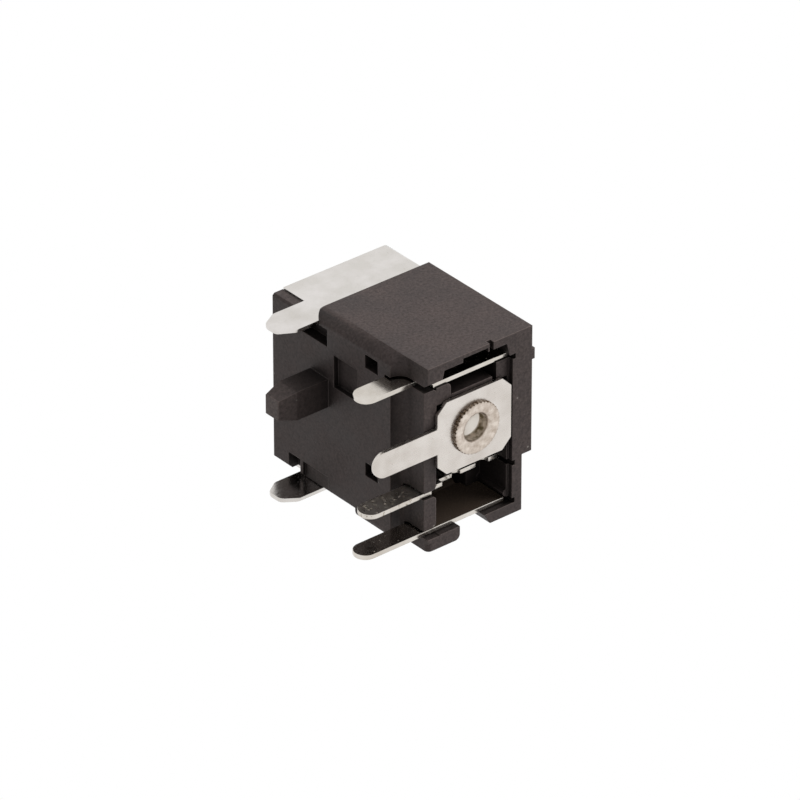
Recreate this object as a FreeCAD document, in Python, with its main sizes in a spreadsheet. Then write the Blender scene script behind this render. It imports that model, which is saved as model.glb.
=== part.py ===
import FreeCAD, Part
import os
import re
import Sketcher

# Board-mounted dc power jack for a laptop, in millimetres.
# X runs across the jack, Y runs from the plug mouth to the rear, Z points away from the board.
# The origin is the centre of the mouth, on the axis of the plug and the centre pin.

doc = FreeCAD.newDocument("PowerJack")

SIZES = [
    # moulded body
    ("body_length", 14.65, "mouth face to rear face"),
    ("axis_height", 4.88, "board to plug axis"),
    ("top_height", 4.74, "plug axis to the side away from the board"),
    ("wide_side", 8.0, "plug axis to the side with the feet"),
    ("near_side", 5.78, "plug axis to the plain side"),
    ("nose_length", 4.26, "part of the body that the shield wraps"),
    ("flank_length", 6.25, "length of the flank with the feet"),
    ("edge_round", 0.9, "rounding of the plain side's edge that faces the board"),
    ("flank_round", 0.6, "rounding of the other side's edge that faces the board"),
    ("nose_bevel", 0.3, "bevel of the nose beside the board"),
    ("waist_start", 6.7, "shallow waist in front of the flank"),
    ("waist_depth", 0.2, "depth of that waist"),
    ("corner_round", 0.85, "rounding of the corner where the shield's tab leaves the block"),
    ("corner_slack", 0.05, "how much larger than the corner that rounding is"),
    ("step_length", 2.65, "length of the rear columns behind the step of the board side"),
    ("step_depth", 0.92, "depth of that step"),
    ("cove_round", 0.85, "hollow rounding at the foot of that step"),
    ("ledge_gap", 0.15, "gap from the shield's tab to the ledge in front of it"),
    ("ledge_rise", 0.17, "how far that ledge stands out"),
    # plug mouth and bore
    ("mouth_bore", 7.0, "wide mouth"),
    ("mouth_depth", 1.1, "depth of the wide mouth"),
    ("barrel_bore", 6.3, "bore for the plug barrel"),
    ("rear_depth", 4.35, "floor of that bore to the rear face"),
    ("end_wall", 1.3, "wall behind the bore"),
    # rear openings
    ("window_half", 2.95, "half height of the rear opening"),
    ("seat_depth", 0.38, "how deep the rear plate sits below the rear face"),
    ("boss_half", 2.2, "half height of the boss behind the plate"),
    ("boss_low", 2.95, "reach of the boss towards the feet"),
    ("boss_share", 0.636, "its reach towards the upper blade, as a share of the way"),
    ("crest_share", 0.766, "reach of the narrow crest on the boss, as a share of the way"),
    ("crest_half", 1.7, "half height of that crest"),
    ("lug_share", 0.662, "lower face of the lugs under the blade, as a share of the way"),
    ("near_lug", 1.75, "plug axis to the lug under it, towards the board"),
    ("far_lug", 2.05, "plug axis to the lug under it, away from the board"),
    ("lug_round", 0.35, "rounding of the lug towards the board"),
    ("column_round", 0.3, "rounding of the columns beside the contacts' tabs"),
    ("slot_wall", 0.58, "wall over the slot above the upper blade"),
    ("crown_rise", 0.3, "how much higher the middle of that slot is"),
    ("crown_half", 1.05, "half of the length of that middle"),
    ("slot_slant", 0.35, "slant of the ends of the slot"),
    ("groove_deep", 0.41, "depth of the grooves for the blades in the far wall"),
    ("foot_gap_near", 1.25, "gap between the feet, towards the board"),
    ("foot_gap_far", 0.8, "gap between the feet, away from the board"),
    ("foot_flare", 0.6, "how much wider that gap is at its open side"),
    ("foot_round", 0.4, "rounding of the near foot beside the gap"),
    ("foot_short", 0.17, "how much shorter the far foot is"),
    ("foot_gap_depth", 2.2, "length of that gap"),
    ("far_step", 0.8, "step of the lower far side"),
    ("far_step_from", 3.62, "plug axis to that step"),
    ("rib_near", 3.25, "plug axis to the rib on the side away from the board"),
    ("rib_width", 0.8, "width of that rib"),
    ("rib_length", 1.2, "length of that rib"),
    ("rib_rise", 0.22, "height of that rib"),
    ("nick_start", 1.14, "plug axis to the nick over that slot"),
    ("nick_width", 0.36, "width of that nick"),
    ("nub_level", 6.35, "plug axis to the nub over the lower blade"),
    ("nub_width", 0.52, "width of that nub"),
    # locating peg
    ("peg_centre", 4.79, "mouth to peg"),
    ("peg_shift", 0.22, "plug axis to the middle of the peg, towards the plain side"),
    ("peg_long", 1.84, "peg along the jack"),
    ("peg_wide", 2.12, "peg across the jack"),
    ("peg_reach", 3.95, "peg below the board face"),
    ("peg_nose", 1.35, "length of its tapered nose"),
    ("peg_tip_long", 1.25, "tip of the nose along the jack"),
    ("peg_tip_wide", 1.4, "tip of the nose across the jack"),
    # marks in the board side
    ("dish_start", 6.26, "square dish, nearest edge to the mouth"),
    ("dish_size", 2.4, "side of that dish"),
    ("dish_from", 0.92, "plug axis to the dish"),
    ("dish_depth", 0.4, "depth of the dish"),
    ("catch_start", 9.45, "catch windows, nearest edge to the mouth"),
    ("catch_length", 1.28, "length of the catch windows"),
    ("catch_height", 1.0, "height of the catch windows"),
    ("catch_depth", 1.3, "depth of the catch windows"),
    ("relief_start", 3.03, "relief round the shield's tab, nearest edge to the mouth"),
    ("relief_length", 2.58, "length of that relief"),
    ("relief_depth", 0.45, "depth of that relief"),
    ("pocket_height", 1.27, "height of the pocket behind the tab"),
    ("pocket_depth", 0.8, "depth of that pocket"),
    ("notch_start", 1.55, "notch before the second tab"),
    ("notch_length", 1.2, "length of that notch"),
    ("notch_height", 1.3, "height of that notch"),
    # folded shield
    ("shield_sheet", 0.3, "sheet of the shield"),
    ("near_inset", 0.535, "plain side to the near leg"),
    ("wide_inset", 0.15, "side with the feet to the far leg"),
    ("shield_proud", 0.06, "how far the web between the legs stands over the body"),
    ("skirt_rise", 0.88, "board face to the lower edge of the legs"),
    ("shield_bend", 0.06, "inner radius of the folds"),
    ("shield_fit", 0.02, "clearance between shield and body"),
    ("leg_overlap", 0.48, "how far the legs run into the block"),
    ("ear_width", 2.54, "width of the tab of each leg"),
    ("ear_shoulder", 1.75, "where the tab starts to taper, below the board face"),
    ("ear_reach", 2.98, "tip of the near tab below the board face"),
    ("ear_short", 0.2, "how much shorter the far tab is"),
    ("ear_taper", 0.7, "taper of the tab each side"),
    ("ear_round", 0.6, "rounding of its corners"),
    # centre pin
    ("pin_width", 2.5, "diameter of the pin"),
    ("pin_start", 1.3, "mouth to the tip of the pin"),
    ("pin_round", 0.7, "rounding of the tip"),
    ("shank_width", 2.96, "diameter of the shank in the body"),
    ("shank_fit", 0.02, "clearance round the shank"),
    ("head_width", 3.74, "diameter of the head"),
    ("head_rise", 0.3, "thickness of the head"),
    ("head_bevel", 0.06, "bevel of the head"),
    ("socket_width", 1.95, "hollow in the head"),
    ("socket_depth", 0.75, "depth of that hollow"),
    ("knurl_depth", 0.11, "depth of the knurling"),
    ("knurl_half", 0.1, "half width of one groove of the knurling"),
    ("knurl_count", 40, "grooves round the head"),
    # flat contacts
    ("blade_sheet", 0.34, "sheet of the contacts"),
    ("blade_half", 3.12, "half height of each blade"),
    ("blade_fit", 0.04, "clearance of a blade in its groove"),
    ("plate_wide", 5.4, "rear plate across the jack"),
    ("plate_high", 6.16, "rear plate along its height"),
    ("plate_bevel", 0.75, "cut corners of the plate"),
    ("plate_tab", 1.88, "width of its tab"),
    ("plate_reach", 3.45, "tip of its tab below the board face"),
    ("upper_inset", 1.93, "plain side to the upper blade"),
    ("upper_long", 4.65, "rear face to the front of the upper blade"),
    ("upper_sunk", 0.49, "rear face to its rear edge"),
    ("upper_tab_far", 3.2, "rear face to the far edge of its tab"),
    ("upper_tab", 1.74, "width of its tab"),
    ("upper_reach", 3.1, "tip of its tab below the board face"),
    ("switch_level", 3.85, "plug axis to the switch blade"),
    ("switch_long", 2.75, "rear face to the front of the switch blade"),
    ("switch_sunk", 0.59, "rear face to the rear edge of its tab"),
    ("switch_back", 1.35, "rear face to the rear edge of the blade itself"),
    ("heel_long", 0.4, "how far the blade stands back further beside its tab"),
    ("heel_end", 1.93, "plug axis to the end of that heel"),
    ("switch_tab", 1.68, "width of its tab"),
    ("switch_reach", 3.5, "tip of its tab below the board face"),
    ("bite_near", 0.45, "bite in its rear edge, towards the board"),
    ("bite_small", 0.7, "width of that bite"),
    ("bite_far", 1.74, "bite in its rear edge, away from the board"),
    ("bite_large", 1.08, "width of that bite"),
    ("lower_inset", 1.3, "side with the feet to the lower blade"),
    ("lower_long", 3.75, "rear face to the front of the lower blade"),
    ("lower_sunk", 0.52, "rear face to its rear edge"),
    ("lower_end", 2.9, "plug axis to the far end of the blade"),
    ("lower_tab", 1.68, "width of its tab"),
    ("lower_reach", 3.98, "tip of its tab below the board face"),
    # spring arms
    ("arm_half", 1.5, "half width of each spring arm"),
    ("arm_room", 0.3, "room beside and behind each arm"),
    ("arm_start", 5.0, "mouth to the tip of the arms"),
    ("arm_lip", 3.25, "plug axis to the turned-out tip of the arms"),
    ("arm_crest", 2.62, "plug axis to the contact crest of the arms"),
    ("crest_start", 6.3, "mouth to that crest"),
    ("tongue_long", 2.3, "front of the switch blade to the tip of its tongue"),
    ("tongue_gap", 0.2, "gap between that tip and the lower spring's arm"),
]

sheet = doc.addObject("Spreadsheet::Sheet", "Sizes")
size = {}
for row, (alias, value, note) in enumerate(SIZES, start=1):
    sheet.set("A%d" % row, str(value))
    sheet.setAlias("A%d" % row, alias)
    sheet.set("B%d" % row, note)
    size[alias] = value
doc.recompute()

# Places that are worked out from the sizes.
PLACES = {
    "flank_start": "(body_length - flank_length)",
    "step_start": "(body_length - step_length)",
    "barrel_depth": "(body_length - rear_depth)",
    "slot_side": "(near_side - slot_wall)",
    "slot_crown": "(near_side - slot_wall + crown_rise)",
    "groove_reach": "(window_half + groove_deep)",
    "boss_reach": "(boss_share * (near_side - upper_inset))",
    "boss_crest": "(crest_share * (near_side - upper_inset))",
    "lug_floor": "(lug_share * (near_side - upper_inset))",
    "shield_near": "(near_side - near_inset)",
    "shield_wide": "(wide_side - wide_inset)",
    "shield_top": "(top_height + shield_proud)",
    "shield_skirt": "(axis_height - skirt_rise)",
    "leg_length": "(nose_length + leg_overlap)",
    "ear_start": "(nose_length + leg_overlap - ear_width)",
    "ledge_length": "(nose_length + leg_overlap - ear_width - ledge_gap)",
    "upper_level": "(near_side - upper_inset)",
    "upper_front": "(body_length - upper_long)",
    "upper_rear": "(body_length - upper_sunk)",
    "upper_tab_start": "(body_length - upper_tab_far)",
    "switch_front": "(body_length - switch_long)",
    "switch_rear": "(body_length - switch_sunk)",
    "switch_edge": "(body_length - switch_back)",
    "switch_heel": "(body_length - switch_back + heel_long)",
    "lower_level": "(wide_side - lower_inset)",
    "lower_front": "(body_length - lower_long)",
    "lower_rear": "(body_length - lower_sunk)",
    "tongue_start": "(body_length - switch_long - tongue_long)",
    "tongue_level": "(arm_crest + (wide_side - lower_inset - arm_crest)"
                    " * (body_length - switch_long - tongue_long - crest_start)"
                    " / (body_length - lower_long - crest_start) - blade_sheet - tongue_gap)",
}

WORD = re.compile(r"[a-z][a-z_]+")


def spelled(text):
    """The expression with each place written out in sizes."""
    return WORD.sub(lambda word: PLACES.get(word.group(0), word.group(0)), text)


def bound(text):
    """The expression with each size read from the sheet."""
    return WORD.sub(lambda word: "Sizes." + word.group(0) if word.group(0) in size
                    else word.group(0), spelled(text))


def number(text):
    """The present value of the same expression."""
    text = WORD.sub(lambda word: "(%.9g)" % size[word.group(0)] if word.group(0) in size
                    else word.group(0), spelled(text))
    return FreeCAD.Units.parseQuantity(text).Value


def new_body(name, label):
    body = doc.addObject("PartDesign::Body", name)
    body.Label = label
    return body


def new_sketch(body, name, plane, start):
    """A sketch on one of the body's own planes, moved along its normal to the coordinate start."""
    sketch = body.newObject("Sketcher::SketchObject", name)
    for feature in body.Origin.OriginFeatures:
        if feature.Role == plane:
            sketch.AttachmentSupport = [(feature, "")]
    sketch.MapMode = "FlatFace"
    sign = "-" if plane == "XZ_Plane" else ""
    sketch.setExpression("AttachmentOffset.Base.z", bound(sign + "(" + start + ")"))
    return sketch


def pin_down(sketch, kind, edge, end, text):
    """Ties one coordinate of a point, or one radius, to an expression."""
    value = number(text)
    if end is None:
        index = sketch.addConstraint(Sketcher.Constraint(kind, edge, value))
    else:
        index = sketch.addConstraint(Sketcher.Constraint(kind, edge, end, value))
    sketch.setExpression("Constraints[%d]" % index, bound(text))


def add_loop(sketch, points, arcs=None):
    """A closed outline through the points. arcs gives, for the point that an arc leaves,
    its centre, its turning sense and the coordinate that places its far end."""
    arcs = arcs or {}
    spots = [FreeCAD.Vector(number(a), number(b), 0) for a, b in points]
    edges = []
    for i, spot in enumerate(spots):
        other = spots[(i + 1) % len(spots)]
        if i in arcs:
            centre_text, turn, keep = arcs[i]
            centre = FreeCAD.Vector(number(centre_text[0]), number(centre_text[1]), 0)
            circle = Part.Circle(centre, FreeCAD.Vector(0, 0, 1), (spot - centre).Length)
            first, last = (spot, other) if turn > 0 else (other, spot)
            edge = sketch.addGeometry(
                Part.ArcOfCircle(circle, circle.parameter(first), circle.parameter(last)), False)
            edges.append((edge, 1, 2) if turn > 0 else (edge, 2, 1))
            pin_down(sketch, "DistanceX", edge, 3, centre_text[0])
            pin_down(sketch, "DistanceY", edge, 3, centre_text[1])
        else:
            edges.append((sketch.addGeometry(Part.LineSegment(spot, other), False), 1, 2))
    for i, (edge, first, last) in enumerate(edges):
        following = edges[(i + 1) % len(edges)]
        sketch.addConstraint(Sketcher.Constraint("Coincident", edge, last, following[0], following[1]))
        keep = arcs[i - 1][2] if i - 1 in arcs else "XY"
        for axis, text in zip("XY", points[i]):
            if axis in keep:
                pin_down(sketch, "Distance" + axis, edge, first, text)


def add_circle(sketch, centre, width):
    spot = FreeCAD.Vector(number(centre[0]), number(centre[1]), 0)
    circle = Part.Circle(spot, FreeCAD.Vector(0, 0, 1), number(width) / 2)
    edge = sketch.addGeometry(circle, False)
    pin_down(sketch, "DistanceX", edge, 3, centre[0])
    pin_down(sketch, "DistanceY", edge, 3, centre[1])
    pin_down(sketch, "Diameter", edge, None, width)


def rectangle(a0, a1, b0, b1):
    return [(a0, b0), (a1, b0), (a1, b1), (a0, b1)]


def extrude(body, kind, name, plane, start, end, loops=(), circles=()):
    """A Pad or a Pocket that runs from the coordinate start to the coordinate end."""
    sketch = new_sketch(body, name + "Sketch", plane, start)
    for loop in loops:
        if isinstance(loop, tuple):
            add_loop(sketch, *loop)
        else:
            add_loop(sketch, loop)
    for centre, width in circles:
        add_circle(sketch, centre, width)
    feature = body.newObject("PartDesign::" + kind, name)
    feature.Profile = sketch
    feature.setExpression("Length", bound("(" + end + ") - (" + start + ")"))
    feature.Reversed = (plane == "XZ_Plane") == (kind == "Pad")
    return feature


def round_edges(body, name, radius, wanted):
    """A fillet on the edges of the body so far that the function wanted picks."""
    doc.recompute()
    base = body.Tip
    picked = ["Edge%d" % i for i, edge in enumerate(base.Shape.Edges, start=1) if wanted(edge)]
    fillet = body.newObject("PartDesign::Fillet", name)
    fillet.Base = (base, picked)
    fillet.Radius = number(radius)
    fillet.setExpression("Radius", bound(radius))
    return fillet


FAR = "body_length + axis_height"
OUT = "-axis_height - axis_height"


def make_housing():
    """One moulding: the nose inside the shield, the block, the rear columns, the feet, the peg."""
    body = new_body("Housing", "housing")
    nose_near = "shield_near - shield_sheet - shield_fit"
    nose_wide = "-(shield_wide - shield_sheet - shield_fit)"
    nose_top = "shield_top - shield_sheet - shield_fit"

    def cut(name, plane, start, end, loops=(), circles=()):
        extrude(body, "Pocket", name, plane, start, end, loops, circles)

    def cut_box(name, x0, x1, y0, y1, z0, z1):
        cut(name, "YZ_Plane", x0, x1, [rectangle(y0, y1, z0, z1)])

    # The block behind the shield, with its wide flank towards the rear.
    inner = nose_wide + " + nose_bevel"
    near_centre = ("near_side - edge_round", "-axis_height + edge_round")
    far_centre = ("-wide_side + flank_round", "-axis_height + flank_round")
    extrude(body, "Pad", "Block", "XZ_Plane", "nose_length", "body_length",
            [([(inner, "-axis_height"), (near_centre[0], "-axis_height"),
               ("near_side", near_centre[1]), ("near_side", "top_height"),
               (nose_wide, "top_height"), (nose_wide, "-axis_height + nose_bevel")],
              {1: (near_centre, 1, "Y")})])
    extrude(body, "Pad", "Flank", "XZ_Plane", "flank_start", "body_length",
            [([("-wide_side", far_centre[1]), (far_centre[0], "-axis_height"),
               (inner, "-axis_height"), (inner, "top_height"), ("-wide_side", "top_height")],
              {0: (far_centre, 1, "X")})])

    # The nose that the shield wraps, and the ledge in front of the shield's tab.
    extrude(body, "Pad", "Nose", "XZ_Plane", "0", "nose_length + nose_bevel",
            [[(nose_wide + " + nose_bevel", "-axis_height"),
              (nose_near + " - nose_bevel", "-axis_height"),
              (nose_near, "-axis_height + nose_bevel"),
              (nose_near, nose_top + " - shield_bend"), (nose_near + " - shield_bend", nose_top),
              (nose_wide + " + shield_bend", nose_top), (nose_wide, nose_top + " - shield_bend"),
              (nose_wide, "-axis_height + nose_bevel")]])
    extrude(body, "Pad", "Ledge", "XZ_Plane", "0", "ledge_length",
            [[(nose_near + " - nose_bevel", "-axis_height"),
              (nose_near + " + ledge_rise - nose_bevel / 2", "-axis_height"),
              (nose_near + " + ledge_rise", "-axis_height + nose_bevel / 2"),
              (nose_near + " + ledge_rise", "-shield_skirt - shield_fit"),
              (nose_near + " - nose_bevel", "-shield_skirt - shield_fit")]])

    # The board side steps up to the rear columns over a hollow rounding.
    column = "-axis_height + step_depth"
    cut("RearStep", "YZ_Plane", "-wide_side - cove_round", "near_side + cove_round",
        [([("step_start", OUT), (FAR, OUT), (FAR, column),
           ("step_start + cove_round", column), ("step_start", column + " - cove_round")],
          {3: (("step_start + cove_round", column + " - cove_round"), 1, "Y")})])

    # Rounded corner beside the tab of the near leg, and the slot for that leg's rear edge.
    # The rounding is a little larger than the corner, so it meets both faces at an angle.
    corner, front = "nose_length + corner_round", "nose_length - corner_round"
    rise = "-axis_height + corner_round"
    cut("TabCorner", "YZ_Plane", nose_near, "near_side + corner_round",
        [([(front, OUT), (corner, OUT), (corner, "-axis_height - corner_slack"),
           ("nose_length - corner_slack", rise), (front, rise)],
          {2: ((corner, rise), -1, "Y")})])
    cut_box("LegSlot", nose_near, "shield_near + shield_fit", "nose_length",
            "leg_length + shield_fit", OUT, "shield_skirt + shield_bend")

    # Mouth and bore for the plug.
    cut("Mouth", "XZ_Plane", "0", "mouth_depth", circles=[(("0", "0"), "mouth_bore")])
    cut("Bore", "XZ_Plane", "0", "barrel_depth", circles=[(("0", "0"), "barrel_bore")])

    # The rear opening round the boss that carries the pin, between the board-side columns
    # and the far column.
    wall = "barrel_depth + end_wall"
    floor = "-(lower_level + blade_sheet)"
    lug_low, lug_high, lug_end = "lug_floor + lug_round", "upper_level - lug_round", "-near_lug - lug_round"
    cut("Window", "XZ_Plane", wall, FAR,
        [([(floor, "-window_half"), ("lug_floor", "-window_half"), ("lug_floor", lug_end),
           (lug_low, "-near_lug"), (lug_high, "-near_lug"), ("upper_level", lug_end),
           ("upper_level", "far_lug"), ("lug_floor", "far_lug"),
           ("lug_floor", "window_half"), (floor, "window_half")],
          {2: ((lug_low, lug_end), -1, "X"), 4: ((lug_high, lug_end), -1, "Y")}),
         [("-boss_low", "-boss_half"), ("boss_reach", "-boss_half"),
          ("boss_reach", "-crest_half"), ("boss_crest", "-crest_half"),
          ("boss_crest", "crest_half"), ("boss_reach", "crest_half"),
          ("boss_reach", "boss_half"), ("-boss_low", "boss_half")]])
    cut("PinBore", "XZ_Plane", "barrel_depth - end_wall", FAR,
        circles=[(("0", "0"), "shank_width + 2 * shank_fit")])

    # The rear face is lower than the far column, where the plate and its tab lie.
    seat = "body_length - seat_depth"
    cut_box("PlateSeat", floor, "upper_level", seat, FAR, OUT, "plate_high / 2 + blade_fit")
    cut_box("ColumnSeat", "lug_floor", "near_side - seat_depth", seat, FAR, OUT, "-window_half")

    # Slot over the upper blade, higher in the middle.
    slant = "window_half - slot_slant"
    cut("BladeSlot", "XZ_Plane", wall, FAR,
        [[("upper_level", "-window_half"), ("slot_side", "-(" + slant + ")"),
          ("slot_side", "-crown_half"), ("slot_crown", "-crown_half"),
          ("slot_crown", "crown_half"), ("slot_side", "crown_half"),
          ("slot_side", slant), ("upper_level", "window_half")]])

    # Grooves for the blades, open to the rear, and slots for their tabs between the columns.
    blades = [("Upper", "upper_level", "upper_level + blade_sheet", "upper_front",
               "upper_tab_start"),
              ("Switch", "-switch_level - blade_sheet", "-switch_level", "switch_front",
               "switch_rear - switch_tab"),
              ("Lower", "-lower_level - blade_sheet", "-lower_level", "lower_front",
               "lower_rear - lower_tab")]
    for name, low, high, front, tab in blades:
        cut_box(name + "Groove", low, high + " + blade_fit", front + " - blade_fit", FAR,
                "-blade_half - blade_fit", "groove_reach")
        under, over = low + " - blade_fit", high + " + 3 * blade_fit"
        inner_end, turn = "-window_half", "-window_half - column_round"
        under_centre = (under + " - column_round", turn)
        over_centre = (over + " + column_round", turn)
        cut(name + "Slot", "XZ_Plane", tab + " - blade_fit", FAR,
            [([(under, OUT), (under, turn), (under_centre[0], inner_end),
               (over_centre[0], inner_end), (over, turn), (over, OUT)],
              {1: (under_centre, 1, "X"), 3: (over_centre, 1, "Y")})])

    # Room for the spring arms, in front of the end wall and through it.
    arm_side = "arm_half + arm_room"
    low_room = "-(lower_level + blade_sheet)"
    cut_box("UpperRoom", "0", "upper_level + blade_sheet + 2 * arm_room",
            "arm_start - arm_room", "barrel_depth", "-(" + arm_side + ")", arm_side)
    cut_box("LowerRoom", low_room, "0", "arm_start - arm_room", "barrel_depth",
            "-(" + arm_side + ")", arm_side)
    cut_box("UpperPass", "boss_crest", "upper_level + blade_sheet + 2 * arm_room",
            "barrel_depth - end_wall", wall + " + end_wall", "-(" + arm_side + ")", arm_side)
    cut_box("LowerPass", low_room, "-boss_low", "barrel_depth - end_wall",
            wall + " + end_wall", "-(" + arm_side + ")", arm_side)

    # Gap between the feet, and the step of the lower far side.
    below = "-wide_side - edge_round"
    toe = ("-wide_side + foot_round", "-foot_gap_near - foot_round")
    cut("FootGap", "XZ_Plane", "body_length - foot_gap_depth", FAR,
        [([(floor, "-foot_gap_near"), (floor, "foot_gap_far"),
           ("-wide_side", "foot_gap_far + foot_flare"), (below, "foot_gap_far + foot_flare"),
           (below, toe[1]), ("-wide_side", toe[1]), (toe[0], "-foot_gap_near")],
          {5: (toe, -1, "X")})])
    cut_box("FarFoot", below, "-wide_side + foot_short", "flank_start", FAR,
            "foot_gap_far", "top_height + far_step")
    cut_box("FarStep", below, "-far_step_from", "flank_start", FAR,
            "top_height - far_step", "top_height + far_step")
    cut_box("Waist", below, nose_wide + " + waist_depth", "waist_start", "flank_start",
            OUT, "-shield_skirt")

    # Rib on the side away from the board, nick over the blade's slot, nub over the lower blade.
    extrude(body, "Pad", "FarRib", "YZ_Plane", "rib_near", "rib_near + rib_width",
            [rectangle("body_length - rib_length", "body_length", "top_height - far_step",
                       "top_height + rib_rise")])
    cut_box("Nick", "upper_level + blade_sheet", "near_side + edge_round", seat, FAR,
            "nick_start", "nick_start + nick_width")
    extrude(body, "Pad", "FarNub", "XZ_Plane", wall, seat,
            circles=[(("-nub_level", "window_half"), "nub_width")])

    # Locating peg with a tapered nose.
    def peg_outline(long, wide):
        return rectangle("peg_shift - " + wide + " / 2", "peg_shift + " + wide + " / 2",
                         "peg_centre - " + long + " / 2", "peg_centre + " + long + " / 2")

    shoulder = "-axis_height - peg_reach + peg_nose"
    extrude(body, "Pad", "Peg", "XY_Plane", shoulder, "-axis_height + step_depth",
            [peg_outline("peg_long", "peg_wide")])
    root = new_sketch(body, "PegNoseRoot", "XY_Plane", shoulder)
    add_loop(root, peg_outline("peg_long", "peg_wide"))
    tip = new_sketch(body, "PegNoseTip", "XY_Plane", "-axis_height - peg_reach")
    add_loop(tip, peg_outline("peg_tip_long", "peg_tip_wide"))
    nose = body.newObject("PartDesign::AdditiveLoft", "PegNose")
    nose.Profile = root
    nose.Sections = [tip]
    nose.Ruled = True

    # Square dish, catch windows, and the reliefs round the shield's tabs.
    cut_box("Dish", "dish_from", "dish_from + dish_size", "dish_start", "dish_start + dish_size",
            OUT, "-axis_height + dish_depth")
    for name, low in (("UpperCatch", "upper_level + blade_fit"),
                      ("SwitchCatch", "-switch_level - blade_sheet - blade_fit")):
        cut_box(name, low, low + " + catch_height", "catch_start", "catch_start + catch_length",
                OUT, "-axis_height + catch_depth")
    cut_box("NearPocket", nose_near + " - pocket_height", nose_near,
            "relief_start", "relief_start + relief_length", OUT, "-axis_height + pocket_depth")
    cut_box("WideRelief", "-wide_side", nose_wide + " + notch_height", "relief_start",
            "relief_start + relief_length", OUT, "-axis_height + relief_depth / 2")
    cut_box("WideNotch", "-wide_side", nose_wide + " + notch_height", "notch_start",
            "notch_start + notch_length", OUT, "-axis_height + pocket_depth")
    return body


def make_shield():
    """One strip of tinned sheet, folded into a U, with a soldering tab on each leg."""
    body = new_body("Shield", "shield_strap")
    near, far, top, low = "shield_near", "-shield_wide", "shield_top", "-shield_skirt"
    outer = "(shield_bend + shield_sheet)"
    web = "nose_length - shield_fit"
    t = "shield_sheet"
    points = [(near, low), (near, top + " - " + outer), (near + " - " + outer, top),
              (far + " + " + outer, top), (far, top + " - " + outer), (far, low),
              (far + " + " + t, low), (far + " + " + t, top + " - " + outer),
              (far + " + " + outer, top + " - " + t), (near + " - " + outer, top + " - " + t),
              (near + " - " + t, top + " - " + outer), (near + " - " + t, low)]
    near_fold = (near + " - " + outer, top + " - " + outer)
    far_fold = (far + " + " + outer, top + " - " + outer)
    arcs = {1: (near_fold, 1, "X"), 3: (far_fold, 1, "Y"),
            7: (far_fold, -1, "X"), 9: (near_fold, -1, "Y")}
    extrude(body, "Pad", "Strip", "XZ_Plane", "0", web, [(points, arcs)])
    ear_end = "leg_length"
    shoulder = "-axis_height - ear_shoulder"
    for name, start, reach in (("NearLeg", near + " - " + t, "ear_reach"),
                               ("FarLeg", far, "ear_reach - ear_short")):
        tip = "-axis_height - (" + reach + ")"
        outline = [("0", low), ("ear_start", low), ("ear_start", shoulder),
                   ("ear_start + ear_taper", tip), (ear_end + " - ear_taper", tip),
                   (ear_end, shoulder), (ear_end, "shield_skirt"), ("0", "shield_skirt")]
        extrude(body, "Pad", name, "YZ_Plane", start, start + " + " + t, [outline])
    round_edges(body, "TabNoses", "ear_round",
                lambda edge: len(edge.Vertexes) == 2
                and abs(edge.Vertexes[0].Z - edge.Vertexes[1].Z) < 1e-4
                and abs(edge.Vertexes[0].Y - edge.Vertexes[1].Y) < 1e-4
                and edge.Vertexes[0].Z < number(shoulder) + 1e-4)
    return body


def make_pin():
    """Turned and nickel-plated pin with a knurled head that sits on the rear plate."""
    body = new_body("CentrePin", "centre_pin")
    radius, tip = "pin_width / 2", "pin_start"
    seat = "body_length - seat_depth + blade_sheet"
    end = seat + " + head_rise"
    profile = new_sketch(body, "PinProfile", "XY_Plane", "0")
    add_loop(profile,
             [("0", tip), (radius + " - pin_round", tip), (radius, tip + " + pin_round"),
              (radius, "barrel_depth - end_wall"), ("shank_width / 2", "barrel_depth"),
              ("shank_width / 2", seat), ("head_width / 2", seat),
              ("head_width / 2", end + " - head_bevel"), ("head_width / 2 - head_bevel", end),
              ("socket_width / 2", end), ("socket_width / 2", end + " - socket_depth"),
              ("0", end + " - socket_depth")],
             {1: ((radius + " - pin_round", tip + " + pin_round"), 1, "Y")})
    turned = body.newObject("PartDesign::Revolution", "Turned")
    turned.Profile = profile
    turned.ReferenceAxis = (profile, ["V_Axis"])
    turned.Angle = 360
    groove = extrude(body, "Pocket", "KnurlGroove", "XZ_Plane", seat, end,
                     [[("head_width / 2 - knurl_depth", "0"),
                       ("head_width / 2 + knurl_depth", "-knurl_half - knurl_half"),
                       ("head_width / 2 + knurl_depth", "knurl_half + knurl_half")]])
    doc.recompute()
    knurl = body.newObject("PartDesign::PolarPattern", "Knurl")
    knurl.Originals = [groove]
    knurl.Axis = (groove.Profile[0], ["N_Axis"])
    knurl.Angle = 360
    knurl.Occurrences = int(size["knurl_count"])
    knurl.setExpression("Occurrences", bound("knurl_count"))
    body.Tip = knurl
    return body


def make_terminal():
    """Flat stamping behind the pin head: a plate with cut corners and a soldering tab."""
    body = new_body("PinTerminal", "pin_terminal")
    seat = "body_length - seat_depth"
    wide, high = "plate_wide / 2", "plate_high / 2"
    tab, tip = "plate_tab / 2", "-axis_height - plate_reach"
    outline = [(wide, "-" + high + " + plate_bevel"), (wide, high + " - plate_bevel"),
               (wide + " - plate_bevel", high), ("-" + wide + " + plate_bevel", high),
               ("-" + wide, high + " - plate_bevel"), ("-" + wide, "-" + high + " + plate_bevel"),
               ("-" + wide + " + plate_bevel", "-" + high), ("-" + tab, "-" + high),
               ("-" + tab, tip + " + " + tab), (tab, tip + " + " + tab), (tab, "-" + high),
               (wide + " - plate_bevel", "-" + high)]
    extrude(body, "Pad", "Plate", "XZ_Plane", seat, seat + " + blade_sheet",
            [(outline, {8: (("0", tip + " + " + tab), 1, "Y")})],
            [(("0", "0"), "shank_width + 2 * shank_fit")])
    return body


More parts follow.
